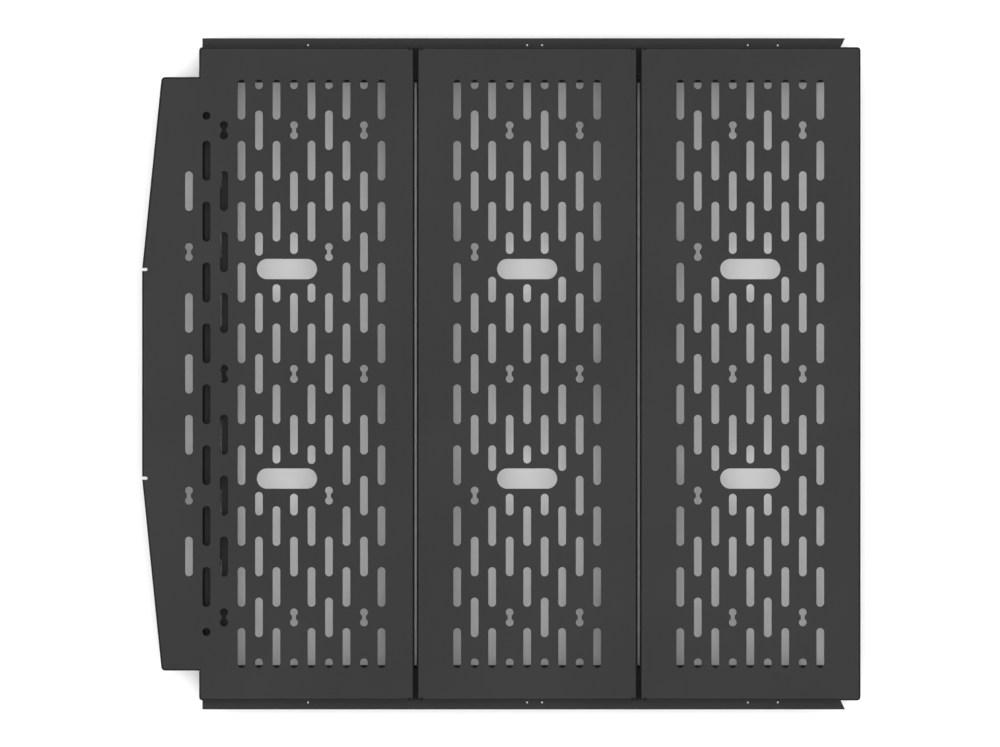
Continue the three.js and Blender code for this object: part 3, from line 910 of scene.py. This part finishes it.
@dataclass
class PressedPanel:
    """Slotted tray with rolled edges, pressed from one sheet.

    Its own X starts at the front edge of its slotted face; the visor, where it
    has one, lies ahead of that.
    """

    node: str
    joints: tuple[str, ...]
    visor_reach: float = 0.0
    sheet: float = 2.5 * MM
    bend: float = 3.5 * MM
    corner: float = 4.2 * MM
    lip: float = 20.0 * MM
    relief: float = 8.0 * MM
    side_margin: float = 48.0 * MM
    neck_width: float = 5.0 * MM
    hand_deburr: float = 0.6 * MM
    near_edge: float = 4.0 * MM
    off_edge: float = 10.0 * MM
    visor_shoulder: float = 37.4 * MM
    visor_nose: float = 130.6 * MM
    visor_setback: float = 24.4 * MM
    notch_width: float = 3.8 * MM
    notch_depth: float = 7.0 * MM
    front_rear_margin: float = 41.2 * MM
    front_hand_from_rear: float = 159.5 * MM
    crossmember_reach: float = 40.2 * MM
    low: Vector = field(init=False)
    high: Vector = field(init=False)

    def __post_init__(self) -> None:
        """Takes the panel's box from the frame."""
        self.low, self.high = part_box(self.node)
        self.low.x += self.visor_reach

    @property
    def width(self) -> float:
        """Length of the panel's end edges, along X."""
        return self.high.x - self.low.x

    def slot_field(self) -> SlotField:
        """Lays out this panel's slots.

        Returns:
            The layout, in the panel's own X.
        """
        fitted = SlotField(0, 0, 0, lambda x: 0)
        full = (fitted.rows + 0.5) * fitted.row_pitch + fitted.core / 2
        if not self.visor_reach:
            columns = math.floor((self.width - 2 * self.side_margin) / fitted.column_pitch) + 1
            rear = (self.width + (columns - 1) * fitted.column_pitch) / 2
            return SlotField(rear, columns, self.width / 2, lambda x: full)
        over_crossmember = full - fitted.core
        on_visor = (fitted.rows - 0.5) * fitted.row_pitch

        def reach(x: float) -> float:
            """Gives how far from the centreline the slots of a column may go.

            Args:
                x: Place of the column.

            Returns:
                The farthest place of a core's end.
            """
            if x < 0:
                return on_visor
            return over_crossmember if x < self.crossmember_reach else full

        rear = self.width - self.front_rear_margin
        columns = math.floor((rear + self.visor_reach - self.side_margin) / fitted.column_pitch) + 1
        return SlotField(rear, columns, self.width - self.front_hand_from_rear, reach)

    def outline(self, name: str, z: float) -> Workpiece:
        """Draws the panel's outline as one flat face.

        Args:
            name: Name of the new object.
            z: Height of the face.

        Returns:
            The flat face.
        """
        face = Workpiece.plate(name, self.low, self.high, z)
        if self.visor_reach:
            shoulder = self.high.y - self.visor_shoulder
            for y in (-shoulder, -self.visor_nose, self.visor_nose, shoulder):
                face.slice((0, y, 0), (0, 1, 0))
            front = self.low.x
            face.pick(
                Element.EDGE,
                lambda a, b, angle: max(abs(a.x - front), abs(b.x - front)) < NEAR
                and max(abs(a.y), abs(b.y)) < shoulder + NEAR,
            )
            depth = self.visor_reach - self.visor_setback
            face.extrude((-depth, 0, 0))
            face.pick(
                Element.VERT,
                lambda p: p.x < front - NEAR and abs(abs(p.y) - self.visor_nose) < NEAR,
            )
            face.shift((-self.visor_setback, 0, 0))
            face.pick_all()
            bpy.ops.mesh.dissolve_faces()
        return face

    def is_round_corner(self, point: Vector) -> bool:
        """Tells whether a corner of the outline is rounded in plan.

        Args:
            point: The corner.

        Returns:
            Whether it is rounded.
        """
        at_front = abs(point.x - self.low.x) < self.near_edge
        at_rear = point.x > self.high.x - self.near_edge
        at_joint = (at_rear and "rear" in self.joints) or (at_front and "front" in self.joints)
        off_end = abs(point.y) < self.high.y - self.off_edge
        inner_corner = self.visor_reach and at_front and off_end
        on_nose = abs(point.y) < self.visor_nose + self.off_edge
        return not (at_joint or inner_corner or on_nose)

    def shaped(
        self, name: str, top: float, bottom: float, inset: float, edge_segments: int
    ) -> Workpiece:
        """Makes the outline into a body with rounded corners and rolled top edges.

        Args:
            name: Name of the new object.
            top: Height of the flat top.
            bottom: Height of the underside.
            inset: How far the outline is drawn in.
            edge_segments: Facets of the rolled edges.

        Returns:
            The body.
        """
        body = self.outline(name, top)
        if inset:
            body.pick_all()
            bpy.ops.mesh.inset(thickness=inset, depth=0, use_boundary=True, use_even_offset=True)
            bpy.ops.mesh.select_all(action="INVERT")
            bpy.ops.mesh.delete(type="FACE")
        body.pick(Element.VERT, self.is_round_corner)
        body.bevel(self.corner - inset, 4, corners=True)
        body.pick_all().extrude((0, 0, bottom - top))
        body.face_outwards()
        body.pick(
            Element.EDGE,
            lambda a, b, angle: min(a.z, b.z) > top - NEAR and angle > 1,
        )
        body.bevel(self.bend - inset, edge_segments)
        return body.done()

    def lips(self) -> Iterator[Workpiece]:
        """Makes the inward lips at both ends of the panel.

        Yields:
            Each lip, which reaches into the end edge's sheet.
        """
        for side in (-1, 1):
            inner = side * (self.high.y - self.sheet - self.lip)
            near, far = sorted((inner, side * (self.high.y - MM)))
            lip = Workpiece.block(
                "lip",
                (self.low.x + self.relief, near, self.low.z),
                (self.high.x - self.relief, far, self.low.z + self.sheet),
            )
            at_inner = edge_on(Axis.Y, inner)
            lip.pick(
                Element.EDGE,
                lambda a, b, angle: at_inner(a, b, angle) and abs(a.z - b.z) < NEAR,
            )
            yield lip.bevel(0.5 * MM, 2).done()

    def joint_reliefs(self) -> Iterator[Workpiece]:
        """Makes the notches where the end edges stop short of a joint.

        Yields:
            Each notch as a block to cut away.
        """
        for joint in self.joints:
            near, far = (
                (self.low.x + self.bend, self.low.x + self.relief)
                if joint == "front"
                else (self.high.x - self.relief, self.high.x - self.bend)
            )
            for side in (-1, 1):
                rim = self.high.y - self.bend
                inner, outer = sorted((side * rim, side * (self.high.y + CUT)))
                yield Workpiece.block(
                    "relief", (near, inner, self.low.z - CUT), (far, outer, self.high.z + CUT)
                )

    def slot_punches(self) -> Workpiece:
        """Gathers the cutting tools of all the panel's slots.

        Returns:
            The tools as one object.
        """
        layout = self.slot_field()
        low, high = self.high.z - self.sheet, self.high.z
        round_punch = Punch(layout.slot_width / 2, low, high).make("round_punch")
        neck = Punch(self.neck_width / 2, low, high, 8).make("neck_punch")
        half = layout.hole_pitch / 2
        pair = stretched(neck, "pair_punch", Axis.Y, (0, -half), (0, half))
        for y in (-half, half):
            pair.weld(stretched(round_punch, "pair_end", Axis.Y, (0, y), (0, y)))
        tools = []
        for kind, x, start, end in layout.holes():
            at = self.low.x + x
            if kind == "pair":
                middle = (start + end) / 2
                tools.append(stretched(pair, "pair", Axis.Y, (at, middle), (at, middle)))
            else:
                tools.append(stretched(round_punch, "slot", Axis.Y, (at, start), (at, end)))
        hand = Punch(layout.hand_width / 2, low, high, 36, self.hand_deburr)
        hand_punch = hand.make("hand_punch")
        at = self.low.x + layout.hand_x
        for y in (-layout.hand_offset, layout.hand_offset):
            ends = (at - layout.hand_core / 2, y), (at + layout.hand_core / 2, y)
            tools.append(stretched(hand_punch, "hand", Axis.X, *ends))
        for master in (round_punch, neck, pair, hand_punch):
            master.discard()
        LOG.info("%s: %d slots", self.node, len(tools))
        return Workpiece.bundle("slot_punches", tools)

    def bolt_punches(self) -> Workpiece:
        """Gathers the cutting tools of the bolt holes in the lips.

        Returns:
            The tools as one object.
        """
        base = self.low.z
        punch = Punch(BOLT_HOLE, base, base + self.sheet, deburr=FINE_DEBURR).make("bolt_punch")
        tools = []
        for bolt in nodes_named("panel_bolt"):
            at = node_middle(bolt).xy
            if self.low.x < at.x < self.high.x:
                tools.append(stretched(punch, "bolt_hole", Axis.Y, at, at))
        punch.discard()
        return Workpiece.bundle("bolt_punches", tools)

    def notch_punches(self) -> Workpiece:
        """Gathers the cutting tools of the bend reliefs at the nose.

        Returns:
            The tools as one object.
        """
        low, high = self.low.z - CUT, self.high.z + CUT
        rod = Workpiece.rod("notch_punch", self.notch_width / 2, low, high, 12)
        nose = self.low.x - self.visor_reach
        tip = nose + self.notch_depth - self.notch_width / 2
        tools = [
            stretched(rod, "notch", Axis.X, (nose - self.notch_depth, y), (tip, y))
            for y in (-self.visor_nose, self.visor_nose)
        ]
        rod.discard()
        return Workpiece.bundle("notch_punches", tools)

    def build(self) -> Workpiece:
        """Presses the panel.

        Returns:
            The finished panel.
        """
        panel = self.shaped("panel", self.high.z, self.low.z, 0.0, 6)
        cavity = self.shaped("cavity", self.high.z - self.sheet, self.low.z - CUT, self.sheet, 3)
        panel.cut(cavity)
        for lip in self.lips():
            panel.weld(lip)
        panel.pick(
            Element.EDGE,
            lambda a, b, angle: angle > 1
            and max(a.z, b.z) < self.low.z + NEAR
            and min(abs(a.y), abs(b.y)) > self.high.y - NEAR,
        )
        panel.bevel(2.0 * MM, 4).done()
        panel.modify("TRIANGULATE")
        tools = [*self.joint_reliefs(), self.bolt_punches(), self.slot_punches()]
        if self.visor_reach:
            tools.append(self.notch_punches())
        return panel.cut(Workpiece.bundle("panel_tools", tools)).polish()


# ------------------------------------------------------------- side rails


@dataclass
class SideRail:
    """Folded C section, open outwards, with a mitred rear end."""

    node: str
    side: int
    sheet: float = 3.0 * MM
    fold: float = 5.0 * MM
    foot: float = 32.0 * MM
    mitre: float = 0.48
    edge: float = 0.4 * MM
    ledge_hole: float = 1.2 * MM
    ledge_hole_inset: float = 8.7 * MM
    foot_slot: tuple[float, float] = (22.0 * MM, 9.0 * MM)
    foot_slots: int = 4
    foot_slot_margin: float = 60.0 * MM
    ledge_holes: tuple[tuple[float, ...], ...] = (
        (1.2 * MM,),
        (0.0, 18.7 * MM),
        (-2.6 * MM, 34.9 * MM),
    )
    low: Vector = field(init=False)
    high: Vector = field(init=False)

    def __post_init__(self) -> None:
        """Takes the rail's box from the frame."""
        self.low, self.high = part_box(self.node)

    @property
    def web_y(self) -> float:
        """Y of the web's inboard face."""
        return self.low.y if self.side > 0 else self.high.y

    @property
    def outer_y(self) -> float:
        """Y of the shelf's outer edge."""
        return self.high.y if self.side > 0 else self.low.y

    def section(self) -> Workpiece:
        """Folds the C section from one strip.

        Returns:
            The rail before it is mitred and punched.
        """
        rail = Workpiece.plate("rail", self.low, self.high, self.high.z)
        web = self.web_y
        height = self.high.z - self.low.z
        at_web = edge_on(Axis.Y, web)
        rail.pick(Element.EDGE, at_web)
        rail.extrude((0, 0, -height)).extrude((0, self.side * self.foot, 0))
        rail.face_outwards()
        rail.pick(
            Element.EDGE,
            lambda a, b, angle: 1 < angle < 2 and at_web(a, b, angle),
        )
        rail.bevel(self.fold, 6).done()
        inwards = -1.0 if rail.obj.data.polygons[0].normal.z > 0 else 1.0
        rail.modify("SOLIDIFY", thickness=self.sheet, offset=inwards, use_even_offset=True)
        return rail.face_outwards()

    def punches(self) -> Iterator[Workpiece]:
        """Makes the cutting tools of the rail's holes.

        Yields:
            The tools for the top flange and then for the foot.
        """
        top = self.high.z
        under = top - self.sheet
        bolt = Punch(BOLT_HOLE, under, top, deburr=FINE_DEBURR).make("bolt_punch")
        small = Punch(self.ledge_hole, under, top, 16, FINE_DEBURR).make("ledge_punch")
        tools = []
        side_name = "left" if self.side > 0 else "right"
        for name in nodes_named(f"panel_bolt_{side_name}"):
            at = node_middle(name).xy
            tools.append(stretched(bolt, "hole", Axis.Y, at, at))
        y = self.outer_y - self.side * self.ledge_hole_inset
        for panel, offsets in zip(PANELS, self.ledge_holes):
            middle = (panel.low.x + panel.high.x) / 2
            for offset in offsets:
                at = (middle + offset, y)
                tools.append(stretched(small, "hole", Axis.Y, at, at))
        yield Workpiece.bundle("flange_punches", tools)

        length, width = self.foot_slot
        base = self.low.z
        foot = Punch(width / 2, base, base + self.sheet, deburr=FINE_DEBURR).make("foot_punch")
        short = self.high.x - self.low.x - (self.high.y - self.low.y) * self.mitre
        step = (short - 2 * self.foot_slot_margin) / (self.foot_slots - 1)
        y = self.web_y + self.side * (self.fold + self.foot) / 2
        slots = []
        for i in range(self.foot_slots):
            x = self.low.x + self.foot_slot_margin + i * step
            half = (length - width) / 2
            slots.append(stretched(foot, "foot_slot", Axis.X, (x - half, y), (x + half, y)))
        for master in (bolt, small, foot):
            master.discard()
        yield Workpiece.bundle("foot_punches", slots)

    def build(self) -> Workpiece:
        """Folds, mitres and punches the rail.

        Returns:
            The finished rail.
        """
        rail = self.section()
        corner, across = (self.high.x, self.outer_y, 0), (1, -self.side * self.mitre, 0)
        rail.slice(corner, across, drop=True).done()
        rail.modify("BEVEL", width=self.edge, segments=2, limit_method="ANGLE", angle_limit=1.0)
        for tools in self.punches():
            rail.cut(tools)
        rail.cut(web_punches(self.web_y, self.side, self.sheet))
        return rail.polish()


def web_punches(web_y: float, side: int, depth: float) -> Workpiece:
    """Makes plain drills for the crossmember bolts on one side.

    Args:
        web_y: Y of the faces that meet the rail web's inboard face.
        side: 1 for the left rail, -1 for the right.
        depth: Thickness to drill, outwards from web_y when positive.

    Returns:
        The drills as one object.
    """
    side_name = "left" if side > 0 else "right"
    tools = []
    for name in nodes_named(f"cross_bolt_{side_name}"):
        middle = node_middle(name)
        drill = Workpiece.rod("drill", BOLT_HOLE, -CUT, abs(depth) + CUT, 20)
        turn = Matrix.Rotation(-side * math.copysign(math.pi / 2, depth), 4, "X")
        place = Matrix.Translation((middle.x, web_y, middle.z))
        drill.obj.data.transform(place @ turn)
        tools.append(drill)
    return Workpiece.bundle("web_drills", tools)


# ------------------------------------------------------------ crossmember


@dataclass
class Crossmember:
    """Inverted slotted channel with welded end plates."""

    node: str = "slotted_crossmember"
    sheet: float = 3.0 * MM
    fold: float = 5.0 * MM
    slot_length: float = 63.0 * MM
    slot_width: float = 13.0 * MM
    slot_pitch: float = 87.0 * MM
    slot_margin: float = 60.0 * MM
    edge: float = 0.4 * MM
    low: Vector = field(init=False)
    high: Vector = field(init=False)

    def __post_init__(self) -> None:
        """Takes the crossmember's box from the frame."""
        self.low, self.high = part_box(self.node)

    def channel(self) -> Workpiece:
        """Folds the channel from one strip.

        Returns:
            The channel without its end plates.
        """
        end = self.high.y - self.sheet / 2
        channel = Workpiece.plate("channel", (self.low.x, -end), (self.high.x, end), self.high.z)
        channel.pick(Element.EDGE, edge_on(Axis.X, self.low.x, self.high.x))
        channel.extrude((0, 0, self.low.z - self.high.z))
        channel.face_outwards()
        top = self.high.z
        channel.pick(
            Element.EDGE,
            lambda a, b, angle: 1 < angle < 2 and min(a.z, b.z) > top - NEAR,
        )
        channel.bevel(self.fold, 6).done()
        level = max(channel.obj.data.polygons, key=lambda face: face.area).normal.z
        inwards = -1.0 if level > 0 else 1.0
        channel.modify("SOLIDIFY", thickness=self.sheet, offset=inwards, use_even_offset=True)
        channel.face_outwards().done()
        return channel.modify(
            "BEVEL", width=self.edge, segments=2, limit_method="ANGLE", angle_limit=1.0
        )

    def end_plates(self) -> Iterator[Workpiece]:
        """Makes the plates that close the channel's ends.

        Yields:
            Each plate, let into the channel's walls.
        """
        inset = self.sheet * 2 / 3
        for side in (-1, 1):
            near, far = sorted((side * (self.high.y - self.sheet), side * self.high.y))
            plate = Workpiece.block(
                "end_plate",
                (self.low.x + inset, near, self.low.z + self.sheet / 3),
                (self.high.x - inset, far, self.high.z - inset),
            )
            outer = side * self.high.y
            plate.pick(Element.EDGE, edge_on(Axis.Y, outer))
            yield plate.bevel(self.edge, 2).done()

    def punches(self) -> Workpiece:
        """Gathers the cutting tools of the slots in the channel's top.

        Returns:
            The tools as one object.
        """
        top = self.high.z
        punch = Punch(self.slot_width / 2, top - self.sheet, top, 24).make("channel_punch")
        rows = math.floor((self.high.y - self.slot_margin - self.slot_length / 2) / self.slot_pitch)
        half = (self.slot_length - self.slot_width) / 2
        x = (self.low.x + self.high.x) / 2
        tools = []
        for row in range(-rows, rows + 1):
            y = row * self.slot_pitch
            tools.append(stretched(punch, "slot", Axis.Y, (x, y - half), (x, y + half)))
        punch.discard()
        return Workpiece.bundle("channel_punches", tools)

    def build(self) -> Workpiece:
        """Folds, welds and punches the crossmember.

        Returns:
            The finished crossmember.
        """
        channel = self.channel()
        for plate in self.end_plates():
            channel.weld(plate)
        channel.cut(self.punches())
        for side in (-1, 1):
            channel.cut(web_punches(side * self.high.y, side, -self.sheet))
        return channel.polish()


# -------------------------------------------------------------- fasteners


@dataclass
class HexBolt:
    """Hexagon bolt with a washer face, a chamfered head and a threaded tail.

    It is modelled with the top of its head at the origin, pointing along -Z.
    """

    length: float
    head_height: float = 4.0 * MM
    across_flats: float = 10.0 * MM
    shank: float = 3.0 * MM
    washer_face: float = 0.3 * MM
    thread_pitch: float = 1.0 * MM
    thread_depth: float = 0.35 * MM
    threads: int = 8
    tail: float = 0.6 * MM
    crown: float = 0.55 * MM
    face_inset: float = 0.4 * MM

    def build(self, name: str) -> Workpiece:
        """Models the bolt.

        Args:
            name: Name of the new object.

        Returns:
            The bolt.
        """
        crown = self.crown
        bolt = Workpiece.rod(name, self.across_flats / 2, -self.head_height, 0, 6)
        bolt.obj.data.transform(Matrix.Rotation(math.pi / 6, 4, "Z"))
        crown_cone = Workpiece.rod("crown", self.across_flats / 2 - 0.1 * MM, -crown, SKIN, 48)
        crown_cone.pick(Element.FACE, lambda centre, normal: normal.z < -0.9)
        crown_cone.swell(1.0 + 4 * crown / self.across_flats)
        crown_cone.extrude((0, 0, -2 * self.head_height)).done()
        bolt.modify("BOOLEAN", operation="INTERSECT", solver="EXACT", object=crown_cone.obj)
        crown_cone.discard()

        seat = -self.head_height - self.washer_face
        face_radius = self.across_flats / 2 - self.face_inset
        bolt.weld(Workpiece.rod("washer_face", face_radius, seat, -self.head_height + CUT, 32))
        bolt.weld(self.threaded_shank(seat))
        return bolt

    def threaded_shank(self, seat: float) -> Workpiece:
        """Models the shank with its thread towards the tail.

        Args:
            seat: Height of the face under the head.

        Returns:
            The shank, which reaches up into the head.
        """
        thread_top = -self.length + self.tail + self.threads * self.thread_pitch
        shank = Workpiece.rod("shank", self.shank, thread_top, seat + CUT, 24)
        shank.pick(Element.FACE, lambda centre, normal: normal.z < -0.9)
        root = 1 - self.thread_depth / self.shank
        for _ in range(self.threads):
            shank.extrude((0, 0, -self.thread_pitch / 2)).swell(root)
            shank.extrude((0, 0, -self.thread_pitch / 2)).swell(1 / root)
        shank.extrude((0, 0, -self.tail)).swell(0.8)
        return shank.done()


@dataclass
class HexNut:
    """Hexagon nut, chamfered at both ends, with a washer face on top.

    It is modelled with its top face at the origin.
    """

    height: float = 5.0 * MM
    across_flats: float = 10.0 * MM
    bore: float = 3.0 * MM
    washer_face: float = 0.3 * MM
    chamfer: float = 0.5 * MM
    face_inset: float = 0.4 * MM

    def build(self, name: str) -> Workpiece:
        """Models the nut.

        Args:
            name: Name of the new object.

        Returns:
            The nut.
        """
        top = -self.washer_face
        nut = Workpiece.rod(name, self.across_flats / 2, -self.height, top, 6)
        nut.obj.data.transform(Matrix.Rotation(math.pi / 6, 4, "Z"))
        wide = self.across_flats / 2 + 0.9 * MM
        barrel = Workpiece.rod("barrel", wide, -self.height + self.chamfer, top - self.chamfer, 48)
        for up in (1, -1):
            barrel.pick(Element.FACE, lambda centre, normal: normal.z * up > 0.9)
            barrel.extrude((0, 0, up * (self.chamfer + SKIN))).swell(1 - 1.0 * MM / wide)
        barrel.done()
        nut.modify("BOOLEAN", operation="INTERSECT", solver="EXACT", object=barrel.obj)
        barrel.discard()
        face_radius = self.across_flats / 2 - self.face_inset
        nut.weld(Workpiece.rod("washer_face", face_radius, top - CUT, 0, 32))
        hole = Workpiece.rod("bore", self.bore + 0.05 * MM, -self.height - CUT, CUT, 24)
        return nut.cut(hole)


class FastenerSet:
    """The bolts and nuts, modelled once for each grip and copied into place."""

    def __init__(self, finisher: Finisher) -> None:
        """Takes the finisher that dresses the fasteners."""
        self.finisher = finisher

    @staticmethod
    def placed(master: Workpiece, name: str, anchor: Vector, side: int) -> Workpiece:
        """Copies a fastener into place.

        Args:
            master: Fastener modelled at the origin along Z.
            name: Name of the copy.
            anchor: Where its origin goes.
            side: 0 for an upright fastener, 1 or -1 for one that points inboard
                from the left or the right.

        Returns:
            The copy.
        """
        twin = master.copy(name)
        turn = Matrix.Rotation(-side * math.pi / 2, 4, "X")
        twin.obj.data.transform(Matrix.Translation(anchor) @ turn)
        return twin

    def build(self) -> None:
        """Models and places every bolt and nut of the frame."""
        for family in ("panel", "cross"):
            masters: dict[str, Workpiece] = {}
            for node in nodes_named(f"{family}_"):
                low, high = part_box(node)
                kind = "bolt" if "_bolt_" in node else "nut"
                middle = (low + high) / 2
                side = 0 if family == "panel" else int(math.copysign(1, middle.y))
                extent = high - low
                if kind not in masters:
                    length = extent.z if side == 0 else extent.y
                    made = HexBolt(length) if kind == "bolt" else HexNut()
                    masters[kind] = made.build(f"{family}_{kind}_master").polish()
                if side == 0:
                    anchor = Vector((middle.x, middle.y, high.z))
                else:
                    anchor = Vector((middle.x, high.y if side > 0 else low.y, middle.z))
                piece = self.placed(masters[kind], f"{node}_finished", anchor, side)
                self.finisher.deliver(piece, ZincPlate, node)
            for master in masters.values():
                master.discard()


# ------------------------------------------------------------------ stage


@dataclass
class Studio:
    """Pale floor, soft light from all round and above, and a camera straight above."""

    floor_half: float = 30.0
    sky: float = 1.62
    lamp_power: float = 60.0
    lamp_size: float = 6.0
    lamp_height: float = 4.0
    lens: float = 259.0
    view_width: float = 1251.2 * MM
    sensor: float = 36.0
    camera_forward: float = 1.65 * MM
    camera_left: float = 0.4 * MM

    def lay_floor(self) -> None:
        """Lays the floor under the rail feet."""
        reach = self.floor_half
        floor = Workpiece.plate("studio_floor", (-reach, -reach), (reach, reach), cad_low.z)
        floor.obj.data.materials.append(PaleFloor().material())

    def light(self) -> None:
        """Adds an even sky and one large soft lamp overhead."""
        world = bpy.data.worlds.new("studio_sky")
        bpy.context.scene.world = world
        world.use_nodes = True
        background = world.node_tree.nodes["Background"]
        background.inputs["Color"].default_value = grey(1.0)
        background.inputs["Strength"].default_value = self.sky
        lamp = bpy.data.lights.new("soft_lamp", "AREA")
        lamp.shape = "DISK"
        lamp.size = self.lamp_size
        lamp.energy = self.lamp_power
        holder = bpy.data.objects.new("soft_lamp", lamp)
        holder.location = (0, 0, self.lamp_height)
        bpy.context.collection.objects.link(holder)

    def set_camera(self) -> None:
        """Sets a long lens straight above the rack, with the front end on the left."""
        lens = bpy.data.cameras.new("overhead_camera")
        lens.lens = self.lens
        lens.sensor_width = self.sensor
        camera = bpy.data.objects.new("overhead_camera", lens)
        middle = (cad_low + cad_high) / 2
        height = self.view_width * self.lens / self.sensor
        x, y = middle.x - self.camera_forward, middle.y + self.camera_left
        camera.location = (x, y, cad_high.z + height)
        bpy.context.collection.objects.link(camera)
        bpy.context.scene.camera = camera

    def build(self) -> None:
        """Sets up the stage."""
        self.lay_floor()
        self.light()
        self.set_camera()
        bpy.context.scene.view_settings.view_transform = "Standard"


# ------------------------------------------------------------------- main

PANELS = (
    PressedPanel("front_panel", ("rear",), visor_reach=71.4 * MM),
    PressedPanel("centre_panel", ("front", "rear")),
    PressedPanel("rear_panel", ("front",)),
)


def main() -> None:
    """Builds the rack piece by piece and then the stage round it."""
    logging.basicConfig(level=logging.INFO, format="%(name)s: %(message)s")
    finisher = Finisher()
    for panel in PANELS:
        finisher.deliver(panel.build(), PowderCoat, panel.node)
    for side_name, side in (("left", 1), ("right", -1)):
        rail = SideRail(f"{side_name}_side_rail", side)
        finisher.deliver(rail.build(), PowderCoat, rail.node)
    crossmember = Crossmember()
    finisher.deliver(crossmember.build(), PowderCoat, crossmember.node)
    FastenerSet(finisher).build()
    Studio().build()


if __name__ == "__main__":
    main()
